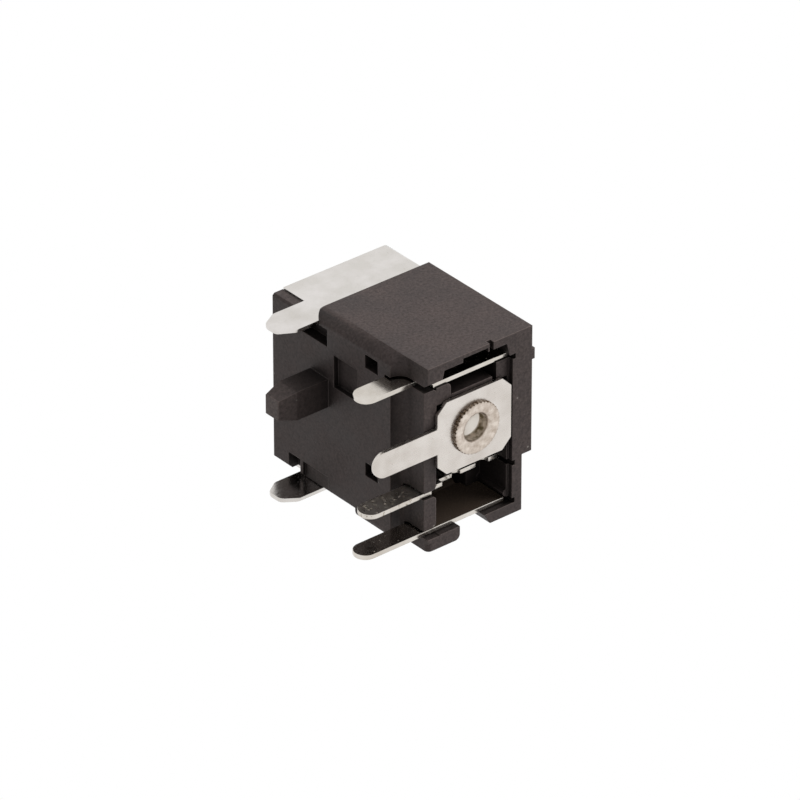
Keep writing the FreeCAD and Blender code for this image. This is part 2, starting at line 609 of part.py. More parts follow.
def add_blade(body, low, front, tab_start, tab_end, reach, rear_edge):
    """The flat part of a contact: a blade across the jack and a round-nosed soldering tab.
    rear_edge gives the outline of the blade from the tab to its far rear corner."""
    half = "(" + tab_end + " - (" + tab_start + ")) / 2"
    nose = "-axis_height - " + reach + " + " + half
    middle = "(" + tab_end + " + " + tab_start + ") / 2"
    outline = [(front, "-blade_half"), (tab_start, "-blade_half"), (tab_start, nose),
               (tab_end, nose)] + rear_edge + [(front, rear_edge[-1][1])]
    extrude(body, "Pad", "Blade", "YZ_Plane", low, low + " + blade_sheet",
            [(outline, {2: ((middle, nose), 1, "Y")})])


def add_arm(body, name, path):
    """A bent arm in the middle of the jack: the path gives its underside, front to rear."""
    back = [(x + " + blade_sheet", y) for x, y in reversed(path)]
    extrude(body, "Pad", name, "XY_Plane", "-arm_half", "arm_half", [path + back])


def make_upper_spring():
    """Sleeve contact on the plain side: its arm presses on the plug from one side."""
    body = new_body("UpperSpring", "upper_sleeve_spring")
    tab_end = "upper_tab_start + upper_tab"
    add_blade(body, "upper_level", "upper_front", "upper_tab_start", tab_end, "upper_reach",
              [(tab_end, "-blade_half"), ("upper_rear", "-blade_half"),
               ("upper_rear", "blade_half")])
    add_arm(body, "Arm", [("arm_lip", "arm_start"), ("arm_crest", "crest_start"),
                          ("upper_level", "upper_front"), ("upper_level", "upper_front + arm_room")])
    return body


def make_lower_spring():
    """Sleeve contact on the side with the feet: its arm presses on the plug from the other side."""
    body = new_body("LowerSpring", "lower_sleeve_spring")
    level = "-lower_level - blade_sheet"
    add_blade(body, level, "lower_front", "lower_rear - lower_tab", "lower_rear", "lower_reach",
              [("lower_rear", "lower_end")])
    add_arm(body, "Arm", [("-arm_lip - blade_sheet", "arm_start"),
                          ("-arm_crest - blade_sheet", "crest_start"),
                          (level, "lower_front"), (level, "lower_front + arm_room")])
    return body


def make_switch_contact():
    """Contact that the lower spring leaves when a plug goes in."""
    body = new_body("SwitchContact", "switch_contact")
    level = "-switch_level - blade_sheet"
    add_blade(body, level, "switch_front", "switch_rear - switch_tab", "switch_rear",
              "switch_reach",
              [("switch_rear", "-blade_half"), ("switch_heel", "-blade_half"),
               ("switch_heel", "-heel_end"), ("switch_edge", "-heel_end"),
               ("switch_edge", "blade_half")])
    add_arm(body, "Tongue", [("-tongue_level - blade_sheet", "tongue_start"),
                             (level, "switch_front"), (level, "switch_front + arm_room")])
    extrude(body, "Pocket", "Bites", "YZ_Plane", level + " - blade_sheet", "-switch_level + blade_sheet",
            circles=[(("switch_edge", "-bite_near"), "bite_small"),
                     (("switch_edge", "bite_far"), "bite_large")])
    return body


bodies = [make_housing(), make_shield(), make_pin(), make_terminal(), make_upper_spring(),
          make_lower_spring(), make_switch_contact()]
doc.recompute()

faults = [item.Label for item in doc.Objects if "Invalid" in item.State or "Error" in item.State]
for item in doc.Objects:
    if item.isDerivedFrom("PartDesign::Pocket") and not item.Shape.isNull():
        if item.Shape.Volume > item.BaseFeature.Shape.Volume - 1e-6:
            faults.append(item.Label + " removes nothing")
for body in bodies:
    if body.Shape.isNull() or not body.Shape.isValid() or len(body.Shape.Solids) != 1:
        faults.append(body.Label + " is not one sound solid")
if faults:
    raise RuntimeError("the model did not build: " + ", ".join(faults))

os.makedirs("parts", exist_ok=True)
for body in bodies:
    body.Shape.exportStep("parts/%s.step" % body.Label)
    print(body.Label, round(body.Shape.Volume, 3), body.Shape.BoundBox)
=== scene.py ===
import math

import bmesh
import bpy
import numpy as np
from mathutils import Matrix, Vector


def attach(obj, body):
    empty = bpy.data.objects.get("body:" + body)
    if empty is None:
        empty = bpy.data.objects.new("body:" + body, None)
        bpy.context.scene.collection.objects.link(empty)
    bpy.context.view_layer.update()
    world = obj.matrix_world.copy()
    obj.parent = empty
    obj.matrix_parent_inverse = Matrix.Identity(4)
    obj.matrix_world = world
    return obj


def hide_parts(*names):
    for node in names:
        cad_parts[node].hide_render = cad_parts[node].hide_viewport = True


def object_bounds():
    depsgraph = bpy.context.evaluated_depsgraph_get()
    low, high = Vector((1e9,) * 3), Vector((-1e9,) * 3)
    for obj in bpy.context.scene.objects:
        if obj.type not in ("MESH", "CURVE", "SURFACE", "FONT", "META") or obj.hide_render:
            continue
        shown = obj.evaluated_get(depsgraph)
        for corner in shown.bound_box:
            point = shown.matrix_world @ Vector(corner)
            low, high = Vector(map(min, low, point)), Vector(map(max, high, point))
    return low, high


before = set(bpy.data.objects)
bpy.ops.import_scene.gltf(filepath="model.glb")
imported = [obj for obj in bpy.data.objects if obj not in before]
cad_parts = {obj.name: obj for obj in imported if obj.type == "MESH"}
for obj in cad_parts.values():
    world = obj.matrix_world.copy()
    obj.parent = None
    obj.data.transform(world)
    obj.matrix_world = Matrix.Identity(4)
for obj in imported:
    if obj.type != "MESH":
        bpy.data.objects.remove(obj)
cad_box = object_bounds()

MM = 0.001


# Housing: one moulding of black glass-filled nylon, made in a spark-eroded mould.
# Its skin is matt, with fine grain, a cloudy bloom where the melt ran, and pale glass specks.
nylon_black = "#322c2b"
nylon_bloom = "#423a38"
nylon_speck = "#97928c"
nylon_pale_tip_and_highlight = "#5e5552"
nylon_sheen = "#fff1ee"
nylon_gloss = 0.24
nylon_cloud = 3.2 * MM
glass_cell = 0.8 * MM
nylon_grain = 0.2 * MM
grain_height = 0.035 * MM
nylon_edge = 0.1 * MM
recess_reach = 8.0 * MM
corner_reach = 1.0 * MM
peg_tip_face = -8.83 * MM
merge_distance = 1e-6


def merged(name, ending):
    """A copy of a CAD node with its doubles merged, which stands for the node."""
    work = bmesh.new()
    work.from_mesh(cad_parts[name].data)
    bmesh.ops.remove_doubles(work, verts=work.verts, dist=merge_distance)
    mesh = bpy.data.meshes.new(name + ending)
    work.to_mesh(mesh)
    work.free()
    piece = bpy.data.objects.new(name + ending, mesh)
    bpy.context.scene.collection.objects.link(piece)
    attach(piece, "root")
    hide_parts(name)
    return piece


def block(outline, axis, low, high):
    """A closed block in millimetres: the outline, given by its two other coordinates, is carried
    along the axis from low to high."""
    ends = [np.insert(np.array(outline), axis, level, axis=1) for level in (low, high)]
    corners = len(outline)
    spot = np.arange(corners)
    beside = np.roll(spot, -1)
    walls = np.stack([spot, beside, beside + corners, spot + corners], axis=-1)
    mesh = bpy.data.meshes.new("block")
    mesh.from_pydata((np.concatenate(ends) * MM).tolist(), [],
                     [spot[::-1].tolist(), (spot + corners).tolist()] + walls.tolist())
    work = bmesh.new()
    work.from_mesh(mesh)
    bmesh.ops.recalc_face_normals(work, faces=work.faces)
    work.to_mesh(mesh)
    work.free()
    return mesh


def reshape(piece, operation, mesh):
    """Adds the closed mesh to the piece, or takes it away, and keeps the result as its mesh."""
    tool = bpy.data.objects.new("tool", mesh)
    bpy.context.scene.collection.objects.link(tool)
    change = piece.modifiers.new("change", "BOOLEAN")
    change.operation = operation
    change.object = tool
    change.solver = "EXACT"
    graph = bpy.context.evaluated_depsgraph_get()
    changed = bpy.data.meshes.new_from_object(piece.evaluated_get(graph))
    piece.modifiers.clear()
    piece.data = changed
    bpy.data.objects.remove(tool)


def linear(hex_colour):
    """A colour written as sRGB hex, as the linear RGBA that a shader takes."""
    parts = np.array([int(hex_colour[i:i + 2], 16) for i in (1, 3, 5)]) / 255
    light = np.where(parts <= 0.04045, parts / 12.92, ((parts + 0.055) / 1.055) ** 2.4)
    return (*light.tolist(), 1.0)


def add_node(material, kind, links=None, **settings):
    """A node of the kind in a material. links gives, by socket, the output it reads or its value.
    settings are the node's own properties."""
    node = material.node_tree.nodes.new("ShaderNode" + kind)
    for key, value in settings.items():
        setattr(node, key, value)
    for socket, source in (links or {}).items():
        if isinstance(source, bpy.types.NodeSocket):
            material.node_tree.links.new(source, node.inputs[socket])
        else:
            node.inputs[socket].default_value = source
    return node


def new_material(name):
    """An empty node material and the output socket of its Object coordinates."""
    material = bpy.data.materials.new(name)
    material.use_nodes = True
    material.node_tree.nodes.clear()
    return material, add_node(material, "TexCoord").outputs["Object"]


def finish_material(material, shader):
    """The material with the shader as its surface."""
    add_node(material, "OutputMaterial", {"Surface": shader.outputs[0]})
    return material


def put_on(piece, material):
    """Gives the piece this one material."""
    piece.data.materials.clear()
    piece.data.materials.append(material)


def moulded_nylon():
    """Black nylon with eroded grain, which looks matt and slightly brown: a cloudy bloom at 3 mm,
    grain from 0.2 mm down, drawn coarser than the real 0.05 mm so that it shows, glass specks in
    cells of 0.8 mm, a paler peg tip, a painted pale highlight on the soft edges, and painted shade
    in recesses and corners."""
    nylon, place = new_material("glass_filled_nylon")
    cloud = add_node(nylon, "TexNoise", {"Vector": place, "Scale": 1 / nylon_cloud, "Detail": 3.0,
                                         "Roughness": 0.55})
    bloom = add_node(nylon, "MapRange", {"Value": cloud.outputs["Fac"], "From Min": 0.3,
                                         "From Max": 0.7})
    flow = add_node(nylon, "Mix", {"Factor": bloom.outputs["Result"], 6: linear(nylon_black),
                                   7: linear(nylon_bloom)}, data_type="RGBA")
    cells = add_node(nylon, "TexVoronoi", {"Vector": place, "Scale": 1 / glass_cell,
                                           "Randomness": 1.0}, feature="F1")
    speck = add_node(nylon, "MapRange", {"Value": cells.outputs["Distance"], "From Min": 0.04,
                                         "From Max": 0.12, "To Min": 0.7, "To Max": 0.0})
    chosen = add_node(nylon, "SeparateColor", {"Color": cells.outputs["Color"]})
    rare = add_node(nylon, "MapRange", {"Value": chosen.outputs["Red"], "From Min": 0.55,
                                        "From Max": 1.0})
    share = add_node(nylon, "Math", {0: speck.outputs["Result"], 1: rare.outputs["Result"]},
                     operation="MULTIPLY")
    speckled = add_node(nylon, "Mix", {"Factor": share.outputs[0], 6: flow.outputs[2],
                                       7: linear(nylon_speck)}, data_type="RGBA")
    depth = add_node(nylon, "SeparateXYZ", {"Vector": place})
    # The peg's tip face is paler.
    tip = add_node(nylon, "MapRange", {"Value": depth.outputs["Z"],
                                       "From Min": peg_tip_face + 0.12 * MM,
                                       "From Max": peg_tip_face + 0.01 * MM})
    pale_tipped = add_node(nylon, "Mix", {"Factor": tip.outputs["Result"], 6: speckled.outputs[2],
                                      7: linear(nylon_pale_tip_and_highlight)}, data_type="RGBA")
    grain = add_node(nylon, "TexNoise", {"Vector": place, "Scale": 1 / nylon_grain, "Detail": 4.0,
                                         "Roughness": 0.7})
    tone = add_node(nylon, "MapRange", {"Value": grain.outputs["Fac"], "From Min": 0.3,
                                        "From Max": 0.7, "To Min": 0.48, "To Max": 1.52})
    # Painted shade: ambient occlusion darkens the colour deep in recesses and, at a short reach, in
    # corners and coves.
    open_air = add_node(nylon, "AmbientOcclusion", {"Distance": recess_reach}, samples=8)
    light = add_node(nylon, "MapRange", {"Value": open_air.outputs["AO"], "From Min": 0.4,
                                         "From Max": 0.8, "To Min": 0.12, "To Max": 1.0})
    near = add_node(nylon, "AmbientOcclusion", {"Distance": corner_reach}, samples=8)
    corner = add_node(nylon, "MapRange", {"Value": near.outputs["AO"], "From Min": 0.4,
                                          "From Max": 0.95, "To Min": 0.45, "To Max": 1.0})
    shade = add_node(nylon, "Math", {0: light.outputs["Result"], 1: corner.outputs["Result"]},
                     operation="MULTIPLY")
    strength = add_node(nylon, "Math", {0: tone.outputs["Result"], 1: shade.outputs[0]},
                        operation="MULTIPLY")
    colour = add_node(nylon, "VectorMath", {0: pale_tipped.outputs[2],
                                            "Scale": strength.outputs[0]}, operation="SCALE")
    sheen = add_node(nylon, "MapRange", {"Value": cloud.outputs["Fac"], "From Min": 0.3,
                                         "From Max": 0.7, "To Min": 0.48, "To Max": 0.6})
    # Painted highlight: the soft edges, found from the Bevel normal, are mixed towards a pale
    # colour, less so where recesses are painted dark.
    soft_edge = add_node(nylon, "Bevel", {"Radius": nylon_edge}, samples=8)
    flat = add_node(nylon, "NewGeometry")
    same = add_node(nylon, "VectorMath", {0: soft_edge.outputs[0], 1: flat.outputs["Normal"]},
                    operation="DOT_PRODUCT")
    rim = add_node(nylon, "MapRange", {"Value": same.outputs["Value"], "From Min": 0.985,
                                       "From Max": 0.85, "To Min": 0.0, "To Max": 0.8})
    edge_highlight = add_node(nylon, "Math", {0: rim.outputs["Result"], 1: light.outputs["Result"]},
                    operation="MULTIPLY")
    edge_highlighted = add_node(nylon, "Mix", {"Factor": edge_highlight.outputs[0], 6: colour.outputs[0],
                                     7: linear(nylon_pale_tip_and_highlight)}, data_type="RGBA")
    bump = add_node(nylon, "Bump", {"Height": grain.outputs["Fac"], "Strength": 0.5,
                                    "Distance": grain_height, "Normal": soft_edge.outputs[0]})
    skin = add_node(nylon, "BsdfPrincipled", {"Base Color": edge_highlighted.outputs[2],
                                              "Roughness": sheen.outputs["Result"], "IOR": 1.53,
                                              "Specular IOR Level": nylon_gloss,
                                              "Specular Tint": linear(nylon_sheen),
                                              "Normal": bump.outputs["Normal"]})
    return finish_material(nylon, skin)


# The moulding differs from its solid in four places, in millimetres. The corner over the end of
# the upper blade is solid up to the rear face, with a lead-in that slants down to the blade. The
# near foot has no nick beside the lower blade's tab, and its upright outer corner is rounded.
rear_face = 14.65
column_face = -3.96
alcove_floor = 14.27
side_wall = 5.4
blade_top = 4.23
blade_end = -2.95
blade_clearance = 0.08
lead_in_top = 4.6
lead_in_bite = 0.04
lead_in_far = -2.5
nick_start = 12.4
nick_top = -7.083
nick_floor = -7.4
nick_width = 0.35
foot_corner = 0.35
foot_seam = -7.39
below_foot = -8.1
overlap = 0.1

housing = merged("housing", "_merged")
alcove = [(side_wall + overlap, alcove_floor - overlap), (side_wall + overlap, rear_face),
          (lead_in_top, rear_face), (blade_top + blade_clearance, alcove_floor),
          (blade_top + blade_clearance, alcove_floor - overlap)]
reshape(housing, "UNION", block(alcove, 2, column_face, blade_end + overlap))
lead_in = [(blade_top - overlap, alcove_floor - 2 * overlap),
           (blade_top - lead_in_bite, alcove_floor - 2 * overlap),
           (lead_in_top + lead_in_bite, rear_face + overlap / 2),
           (blade_top - overlap, rear_face + overlap / 2)]
reshape(housing, "DIFFERENCE", block(lead_in, 2, blade_end - overlap / 2, lead_in_far))
nick = [(nick_top, blade_end + overlap / 10), (nick_top, blade_end - nick_width),
        (nick_floor, blade_end - nick_width), (nick_floor, blade_end + overlap / 10)]
reshape(housing, "UNION", block(nick, 1, nick_start, rear_face))
quarter = np.linspace(0.0, np.pi / 2, 9)
arc = np.stack([rear_face - foot_corner + foot_corner * np.cos(quarter),
                column_face + foot_corner - foot_corner * np.sin(quarter)], axis=-1)
outside = [(rear_face - foot_corner, column_face - overlap),
           (rear_face + overlap, column_face - overlap),
           (rear_face + overlap, column_face + foot_corner)]
reshape(housing, "DIFFERENCE", block([*arc, *outside], 0, below_foot, foot_seam))
put_on(housing, moulded_nylon())


# Shield strap: a strip of tin-plated steel, blanked, folded over the nose and pressed home.
# The tin is pale and soft, with a faint cloud and rolling lines along the strip.
tin_bright = "#dedad7"
tin_dull = "#d2cec9"
flux_brown = "#7a6b52"
painted_shade_colour = "#332b25"
sheet_edge = 0.05 * MM
flat_angle = math.radians(2)
sheared_angle = math.radians(40)
tin_cloud = 1.5 * MM
rolling_line = 0.12 * MM
line_height = 0.002 * MM
flux_drop = 0.2 * MM
flux_film = 0.14
solder_line = -4.4 * MM
solder_fade = 1.2 * MM
painted_shade_start = -3.5 * MM
painted_shade_full = -3.2 * MM


def rolled(name):
    """A merged copy of a CAD node whose flat stretches are single faces and whose sheared edges
    are rolled over."""
    piece = merged(name, "_rolled")
    work = bmesh.new()
    work.from_mesh(piece.data)
    bmesh.ops.dissolve_limit(work, angle_limit=flat_angle, verts=work.verts, edges=work.edges)
    work.to_mesh(piece.data)
    work.free()
    piece.data.shade_smooth()
    edge = piece.modifiers.new("edge", "BEVEL")
    edge.width = sheet_edge
    edge.segments = 2
    edge.limit_method = "ANGLE"
    edge.angle_limit = sheared_angle
    weight = piece.modifiers.new("weight", "WEIGHTED_NORMAL")
    weight.keep_sharp = True
    return piece


def tinned(name, along, bright, dull, roughness, flux, shade_share=0.0):
    """Tin plate, pale with soft reflections: clouds of 1.5 mm, rolling lines along the axes whose
    scale is below 1, drawn 0.12 mm apart so that they show, a thin film of flux on the tab, and
    brown specks of 0.2 mm, the more of them the higher flux is. Where it lies deep in the
    housing, a dark colour is painted as shade over the share of it that the last argument gives."""
    tin, place = new_material(name)
    cloud = add_node(tin, "TexNoise", {"Vector": place, "Scale": 1 / tin_cloud, "Detail": 4.0})
    stretch = add_node(tin, "Mapping", {"Vector": place, "Scale": along})
    lines = add_node(tin, "TexNoise", {"Vector": stretch.outputs[0], "Scale": 1 / rolling_line,
                                       "Detail": 2.0})
    share = add_node(tin, "MapRange", {"Value": cloud.outputs["Fac"], "From Min": 0.35,
                                       "From Max": 0.65})
    clean = add_node(tin, "Mix", {"Factor": share.outputs["Result"], 6: linear(bright),
                                  7: linear(dull)}, data_type="RGBA")
    axes = add_node(tin, "SeparateXYZ", {"Vector": place})
    dipped = add_node(tin, "MapRange", {"Value": axes.outputs["Z"], "From Min": solder_line,
                                        "From Max": solder_line - solder_fade, "To Min": 0.0,
                                        "To Max": flux_film})
    film = add_node(tin, "Math", {0: dipped.outputs["Result"], 1: cloud.outputs["Fac"]},
                    operation="MULTIPLY")
    colour = add_node(tin, "Mix", {"Factor": film.outputs[0], 6: clean.outputs[2],
                                   7: linear(flux_brown)}, data_type="RGBA")
    drops = add_node(tin, "TexNoise", {"Vector": place, "Scale": 1 / flux_drop, "Detail": 3.0})
    crust = add_node(tin, "MapRange", {"Value": drops.outputs["Fac"], "From Min": 0.72 - flux,
                                       "From Max": 0.78 - flux, "To Min": 0.0, "To Max": 0.6})
    # Painted shade: where the sheet lies deep in the housing and ambient occlusion is low, a dark
    # colour is painted over the share that the last argument gives; with the flux specks it also
    # makes the tin less metallic.
    open_air = add_node(tin, "AmbientOcclusion", {"Distance": recess_reach}, samples=8)
    closed = add_node(tin, "MapRange", {"Value": open_air.outputs["AO"], "From Min": 0.65,
                                        "From Max": 0.5, "To Min": 0.0, "To Max": shade_share})
    within = add_node(tin, "MapRange", {"Value": axes.outputs["Z"], "From Min": painted_shade_start,
                                        "From Max": painted_shade_full})
    painted_shade = add_node(tin, "Math", {0: closed.outputs["Result"], 1: within.outputs["Result"]},
                    operation="MULTIPLY")
    dark_share = add_node(tin, "Math", {0: crust.outputs["Result"], 1: painted_shade.outputs[0]},
                    operation="MAXIMUM")
    specked = add_node(tin, "Mix", {"Factor": crust.outputs["Result"], 6: colour.outputs[2],
                                    7: linear(flux_brown)}, data_type="RGBA")
    shaded_over = add_node(tin, "Mix", {"Factor": painted_shade.outputs[0], 6: specked.outputs[2],
                                    7: linear(painted_shade_colour)}, data_type="RGBA")
    gloss = add_node(tin, "MapRange", {"Value": lines.outputs["Fac"], "From Min": 0.3,
                                       "From Max": 0.7, "To Min": roughness - 0.03,
                                       "To Max": roughness + 0.04})
    matt = add_node(tin, "Math", {0: crust.outputs["Result"], 1: gloss.outputs["Result"]},
                    operation="MAXIMUM")
    bare = add_node(tin, "MapRange", {"Value": dark_share.outputs[0], "To Min": 1.0, "To Max": 0.2})
    bump = add_node(tin, "Bump", {"Height": lines.outputs["Fac"], "Strength": 0.1,
                                  "Distance": line_height})
    plate = add_node(tin, "BsdfPrincipled", {"Base Color": shaded_over.outputs[2],
                                             "Metallic": bare.outputs["Result"],
                                             "Roughness": matt.outputs[0],
                                             "Normal": bump.outputs["Normal"]})
    return finish_material(tin, plate)


strap = rolled("shield_strap")
put_on(strap, tinned("tinned_steel", (0.15, 1.0, 0.15), tin_bright, tin_dull, 0.2, 0.0))


# Centre pin: turned from brass bar and nickel-plated; its knurled head is staked over the plate.
# The nickel is warm and mottled, the knurled side is darker brown, and the hollow is drilled.
# The profile gives radius and distance from the mouth in millimetres, and the tooth's share there.
nickel_bright = "#dfd4c9"
nickel_dull = "#b8aa9d"
clean_floor_highlight = "#e3ddd5"
wall_olive = "#6f6650"
knurl_brown = "#4f3c26"
nickel_cloud = 0.5 * MM
tool_feed = 0.08 * MM
tool_mark = 0.003 * MM
mottle_size = 0.22 * MM
mottle_height = 0.015 * MM
wall_patch = 0.45 * MM
knurl_brown_start = 1.7 * MM
knurl_brown_full = 1.75 * MM
head_face = 14.9 * MM
head_side = 14.85 * MM
hollow_radius = 0.95 * MM
lip_radius = 1.01 * MM
hollow_floor = 13.98 * MM
floor_blend = 0.03 * MM
past_hollow = 13.08 * MM
in_hollow = 13.18 * MM
pin_teeth = 40
steps_per_tooth = 12
tooth_depth = 0.11 * MM
tooth_half = 0.1 * MM
head_radius = 1.87 * MM
crease_angle = math.radians(32)
pin_profile = [(0.0, 1.3, 0), (0.3, 1.302, 0), (0.55, 1.31, 0), (0.72, 1.345, 0), (0.9, 1.41, 0),
               (1.05, 1.52, 0), (1.16, 1.67, 0), (1.23, 1.84, 0), (1.25, 2.0, 0), (1.25, 9.0, 0),
               (1.48, 10.3, 0), (1.48, 14.6, 0), (1.5, 14.615, 0), (1.82, 14.615, 0),
               (1.86, 14.63, 1), (1.87, 14.66, 1), (1.87, 14.78, 1), (1.868, 14.83, 1),
               (1.855, 14.87, 0.7), (1.83, 14.895, 0.3), (1.79, 14.908, 0.1), (1.74, 14.91, 0),
               (1.5, 14.907, 0), (1.34, 14.9, 0), (1.24, 14.885, 0), (1.15, 14.855, 0),
               (1.07, 14.8, 0), (1.01, 14.72, 0), (0.975, 14.6, 0), (0.95, 14.4, 0),
               (0.95, 14.0, 0), (0.92, 13.92, 0), (0.86, 13.88, 0), (0.45, 13.75, 0),
               (0.0, 13.62, 0)]


def turned_pin(name, profile):
    """A surface of revolution round Y. Radius is the profile's radius less the tooth depth times
    the profile's third value times a V that repeats once per tooth of the knurling."""
    radius, along, knurl = (np.array(profile) * (MM, MM, 1.0)).T
    steps = pin_teeth * steps_per_tooth
    turn = np.arange(steps) / steps * 2 * math.pi
    pitch = 2 * math.pi / pin_teeth
    off = np.abs((turn + pitch / 2) % pitch - pitch / 2) * head_radius
    groove = np.clip(1 - off / tooth_half, 0, 1)
    rings = radius[1:-1, None] - tooth_depth * knurl[1:-1, None] * groove
    depth = np.broadcast_to(along[1:-1, None], rings.shape)
    wall = np.stack([rings * np.cos(turn), depth, rings * np.sin(turn)], axis=-1).reshape(-1, 3)
    ends = [(0.0, along[0], 0.0), (0.0, along[-1], 0.0)]
    spot = np.arange(rings.size).reshape(rings.shape)
    beside = np.roll(spot, -1, axis=1)
    quads = np.stack([spot[:-1], spot[1:], beside[1:], beside[:-1]], axis=-1).reshape(-1, 4)
    tip, floor_spot = np.full(steps, rings.size), np.full(steps, rings.size + 1)
    caps = np.concatenate([np.stack([tip, spot[0], beside[0]], axis=-1),
                           np.stack([floor_spot, beside[-1], spot[-1]], axis=-1)])
    mesh = bpy.data.meshes.new(name)
    mesh.from_pydata(wall.tolist() + ends, [], quads.tolist() + caps.tolist())
    mesh.shade_smooth()
    mesh.set_sharp_from_angle(angle=crease_angle)
    piece = bpy.data.objects.new(name, mesh)
    bpy.context.scene.collection.objects.link(piece)
    return piece


def turned_nickel():
    """Nickel plate, a warm and mottled metal: clouds of 0.5 mm, rings left by the turning tool,
    0.08 mm apart, darker brown on the knurled side that stops short of the face, and a hollow
    with a patchy olive wall and an unstained floor, painted lighter to stand for a highlight."""
    nickel, place = new_material("nickel_plated_brass")
    axes = add_node(nickel, "SeparateXYZ", {"Vector": place})
    across = add_node(nickel, "CombineXYZ", {"X": axes.outputs["X"], "Y": axes.outputs["Z"]})
    radius = add_node(nickel, "VectorMath", {0: across.outputs[0]}, operation="LENGTH")
    ring = add_node(nickel, "Math", {0: radius.outputs["Value"], 1: 2 * math.pi / tool_feed},
                    operation="MULTIPLY")
    wave = add_node(nickel, "Math", {0: ring.outputs[0]}, operation="SINE")
    cloud = add_node(nickel, "TexNoise", {"Vector": place, "Scale": 1 / nickel_cloud, "Detail": 5.0,
                                          "Roughness": 0.6})
    share = add_node(nickel, "MapRange", {"Value": cloud.outputs["Fac"], "From Min": 0.38,
                                          "From Max": 0.62})
    metal = add_node(nickel, "Mix", {"Factor": share.outputs["Result"], 6: linear(nickel_bright),
                                     7: linear(nickel_dull)}, data_type="RGBA")
    # The knurled side is darker brown in patches, less so at the face, and less metallic there.
    outward = add_node(nickel, "MapRange", {"Value": radius.outputs["Value"],
                                            "From Min": knurl_brown_start, "From Max": knurl_brown_full,
                                            "To Min": 0.1, "To Max": 0.9})
    mottle = add_node(nickel, "TexNoise", {"Vector": place, "Scale": 1 / mottle_size,
                                          "Detail": 4.0, "Roughness": 0.7})
    patch = add_node(nickel, "MapRange", {"Value": mottle.outputs["Fac"], "From Min": 0.42,
                                          "From Max": 0.62, "To Min": 0.7, "To Max": 1.3})
    rim = add_node(nickel, "MapRange", {"Value": axes.outputs["Y"], "From Min": head_face,
                                        "From Max": head_side, "To Min": 0.15, "To Max": 1.0})
    knurl_share = add_node(nickel, "Math", {0: outward.outputs["Result"], 1: rim.outputs["Result"]},
                     operation="MULTIPLY")
    dark_share = add_node(nickel, "Math", {0: knurl_share.outputs[0], 1: patch.outputs["Result"]},
                    operation="MULTIPLY", use_clamp=True)
    knurl_browned = add_node(nickel, "Mix", {"Factor": dark_share.outputs[0], 6: metal.outputs[2],
                                     7: linear(knurl_brown)}, data_type="RGBA")
    # The hollow's wall is patchy olive and pale; its floor is an unstained nickel, painted lighter
    # to stand for a highlight.
    inner = add_node(nickel, "MapRange", {"Value": radius.outputs["Value"],
                                          "From Min": lip_radius, "From Max": hollow_radius})
    rear = add_node(nickel, "MapRange", {"Value": axes.outputs["Y"], "From Min": past_hollow,
                                         "From Max": in_hollow})
    inside = add_node(nickel, "Math", {0: inner.outputs["Result"], 1: rear.outputs["Result"]},
                      operation="MULTIPLY")
    patchy = add_node(nickel, "TexNoise", {"Vector": place, "Scale": 1 / wall_patch})
    wall_share = add_node(nickel, "MapRange", {"Value": patchy.outputs["Fac"], "From Min": 0.42,
                                               "From Max": 0.62, "To Min": 0.15, "To Max": 1.0})
    wall_colour = add_node(nickel, "Mix", {"Factor": wall_share.outputs["Result"],
                                           6: linear(nickel_bright), 7: linear(wall_olive)},
                           data_type="RGBA")
    deep = add_node(nickel, "MapRange", {"Value": axes.outputs["Y"],
                                         "From Min": hollow_floor + floor_blend,
                                         "From Max": hollow_floor - floor_blend})
    hollow = add_node(nickel, "Mix", {"Factor": deep.outputs["Result"], 6: wall_colour.outputs[2],
                                      7: linear(clean_floor_highlight)}, data_type="RGBA")
    colour = add_node(nickel, "Mix", {"Factor": inside.outputs[0], 6: knurl_browned.outputs[2],
                                      7: hollow.outputs[2]}, data_type="RGBA")
    dull = add_node(nickel, "MapRange", {"Value": dark_share.outputs[0], "To Min": 0.3, "To Max": 0.6})
    bare = add_node(nickel, "MapRange", {"Value": dark_share.outputs[0], "To Min": 1.0, "To Max": 0.4})
    bump = add_node(nickel, "Bump", {"Height": wave.outputs[0], "Strength": 0.25,
                                     "Distance": tool_mark})
    rough = add_node(nickel, "Bump", {"Height": mottle.outputs["Fac"], "Strength": 0.4,
                                      "Distance": mottle_height, "Normal": bump.outputs["Normal"]})
    plate = add_node(nickel, "BsdfPrincipled", {"Base Color": colour.outputs[2],
                                                "Metallic": bare.outputs["Result"],
                                                "Roughness": dull.outputs["Result"],
                                                "Normal": rough.outputs["Normal"]})
    return finish_material(nickel, plate)


pin = turned_pin("centre_pin_turned", pin_profile)
put_on(pin, turned_nickel())
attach(pin, "root")
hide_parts("centre_pin")


# Rear plate: a flat stamping of tinned brass that the pin's head clamps, with its solder tab.
# Its tin is a little warmer than the shield's, and the sheared rim is rolled over and shines.
plate_bright = "#dbd5cf"
plate_dull = "#cdc6bf"

plate = rolled("pin_terminal")
put_on(plate, tinned("tinned_brass", (1.0, 1.0, 0.15), plate_bright, plate_dull, 0.28, 0.03))


# Springs and switch contact: tinned phosphor bronze, blanked and bent, each with a solder tab.
# The sheet is smooth, so it mirrors the dark housing beside it; the plating is thin and warm.
# The switch contact is specked with flux, and the lower spring is painted dark as shade where it
# lies deep in the housing.
spring_bright = "#dcd7d0"
spring_dull = "#cdc6bd"
spring_lines = (1.0, 0.15, 1.0)

bronze_tin = tinned("tinned_bronze", spring_lines, spring_bright, spring_dull, 0.2, 0.02)
worn_tin = tinned("fluxed_bronze", spring_lines, spring_bright, spring_dull, 0.3, 0.12)
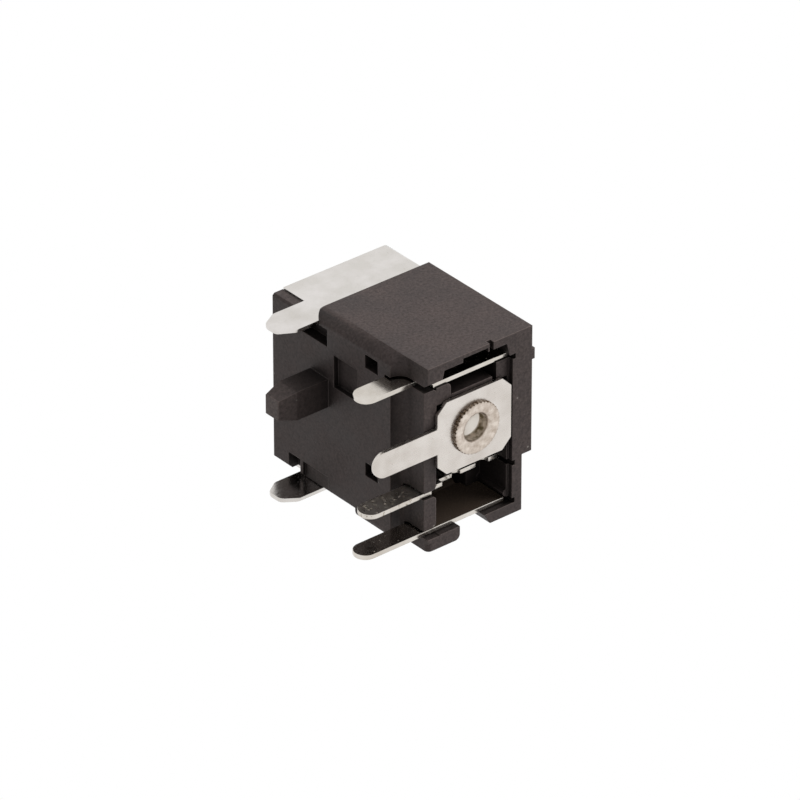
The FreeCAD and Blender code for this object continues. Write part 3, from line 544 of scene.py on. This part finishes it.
# The lower spring's tin carries painted shade where it lies deep in the housing.
shaded_bronze = tinned("bronze_in_painted_shade", spring_lines, spring_bright, spring_dull, 0.2, 0.02, 1.0)
for contact, finish in (("upper_sleeve_spring", bronze_tin), ("lower_sleeve_spring", shaded_bronze),
                        ("switch_contact", worn_tin)):
    spring = rolled(contact)
    put_on(spring, finish)


# Stage: a pale floor under the tabs, which shows only from above, in a white room.
# The jack is seen from below and behind, so the floor is clear on its lower side.
floor_pale = "#f4f4f2"
room_white = "#ffffff"
room_light = 0.2
floor_half = 600 * MM
floor_level = cad_box[0][2]

floor_mesh = bpy.data.meshes.new("floor")
floor_mesh.from_pydata([(-floor_half, -floor_half, floor_level),
                        (floor_half, -floor_half, floor_level),
                        (floor_half, floor_half, floor_level),
                        (-floor_half, floor_half, floor_level)], [], [(0, 1, 2, 3)])
floor = bpy.data.objects.new("floor", floor_mesh)
bpy.context.scene.collection.objects.link(floor)
paper, place = new_material("white_paper")
matt = add_node(paper, "BsdfDiffuse", {"Color": linear(floor_pale)})
clear = add_node(paper, "BsdfTransparent")
side = add_node(paper, "NewGeometry")
seen = add_node(paper, "MixShader", {0: side.outputs["Backfacing"], 1: matt.outputs[0],
                                     2: clear.outputs[0]})
finish_material(paper, seen)
put_on(floor, paper)
floor.visible_diffuse = False
floor.visible_glossy = False
floor.visible_transmission = False
floor.visible_shadow = False

world = bpy.data.worlds.new("room")
bpy.context.scene.world = world
world.use_nodes = True
world.node_tree.nodes.clear()
path = add_node(world, "LightPath")
seen_white = add_node(world, "Math", {0: path.outputs["Is Camera Ray"],
                                      1: path.outputs["Is Glossy Ray"]}, operation="MAXIMUM")
white_too = add_node(world, "Math", {0: seen_white.outputs[0],
                                     1: path.outputs["Is Transmission Ray"]}, operation="MAXIMUM")
level = add_node(world, "MapRange", {"Value": white_too.outputs[0], "To Min": room_light,
                                     "To Max": 1.0})
room = add_node(world, "Background", {"Color": linear(room_white),
                                      "Strength": level.outputs["Result"]})
add_node(world, "OutputWorld", {"Surface": room.outputs[0]})


# Camera: the photograph's angle, from behind, beside the plain side and below the board face.
# A long lens half a metre away keeps parallel edges parallel, as they are in the photograph.
camera_right = Vector((0.0, 0.6363, 0.7714)).normalized()
camera_back = Vector((0.521, 0.658, -0.543))
camera_back = (camera_back - camera_right * camera_back.dot(camera_right)).normalized()
camera_up = camera_back.cross(camera_right)
aim = Vector((0.0, 9.03, -1.63)) * MM
photo_width = 51.6 * MM
lens = 350.0
sensor = 36.0
near_clip = 10 * MM

shot = bpy.data.cameras.new("camera")
shot.lens = lens
shot.sensor_width = sensor
shot.clip_start = near_clip
camera = bpy.data.objects.new("camera", shot)
facing = Matrix((camera_right, camera_up, camera_back)).transposed().to_4x4()
camera.matrix_world = Matrix.Translation(aim + camera_back * photo_width * lens / sensor) @ facing
bpy.context.scene.collection.objects.link(camera)
bpy.context.scene.camera = camera


# Lamps: a broad softbox over the plain side and the rear, and a small weak one at the camera.
# Their level is low enough that a colour renders about as it is written.
def softbox(name, toward, distance, size, power):
    """A square area lamp that looks at the jack from the given direction, its power in watts."""
    lamp = bpy.data.lights.new(name, "AREA")
    lamp.size = size
    lamp.energy = power
    stand = bpy.data.objects.new(name, lamp)
    back = Vector(toward).normalized()
    stand.matrix_world = (Matrix.Translation(aim + back * distance)
                          @ back.to_track_quat("Z", "Y").to_matrix().to_4x4())
    stand.visible_glossy = False
    stand.visible_camera = False
    bpy.context.scene.collection.objects.link(stand)


softbox("key", toward=(1.0, 0.55, 0.9), distance=250 * MM, size=140 * MM, power=0.97)
softbox("front", toward=camera_back, distance=400 * MM, size=50 * MM, power=0.45)

view = bpy.context.scene.view_settings
view.view_transform = "Standard"
